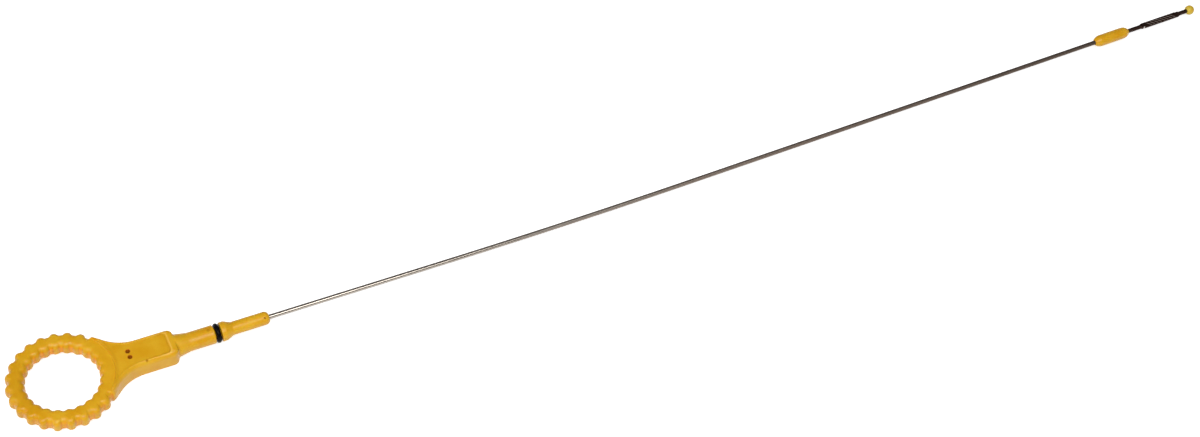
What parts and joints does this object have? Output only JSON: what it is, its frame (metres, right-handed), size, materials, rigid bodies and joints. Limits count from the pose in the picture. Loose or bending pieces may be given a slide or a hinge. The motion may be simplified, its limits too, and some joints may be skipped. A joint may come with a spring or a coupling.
{
  "type": "engine oil dipstick",
  "caption": "Engine oil dipstick: ribbed ring handle with a rubber tube seal, on a long gently bowed steel wire with a guide bead, a flat hatched gauge blade and a ball tip.",
  "frame": {"origin": "on the handle's axis, in the middle of the collar that centres it in the tube", "axes": "+X along the wire towards the tip, +Z square to the flat ring on the side with the sunken panel, +Y completes the right-handed frame"},
  "size_m": [0.6853, 0.0534, 0.0118],
  "materials": {
    "yellow_plastic": "moulded, satin",
    "lemon_plastic": "moulded, satin",
    "black_rubber": "smooth, slightly oiled",
    "steel_wire": "cold drawn, darker towards the tip"
  },
  "bodies": {
    "root": {"handle": "yellow_plastic", "seal_ring": "black_rubber", "wire": "steel_wire", "guide_bead": "yellow_plastic", "tip_ball": "lemon_plastic"}
  },
  "joints": []
}
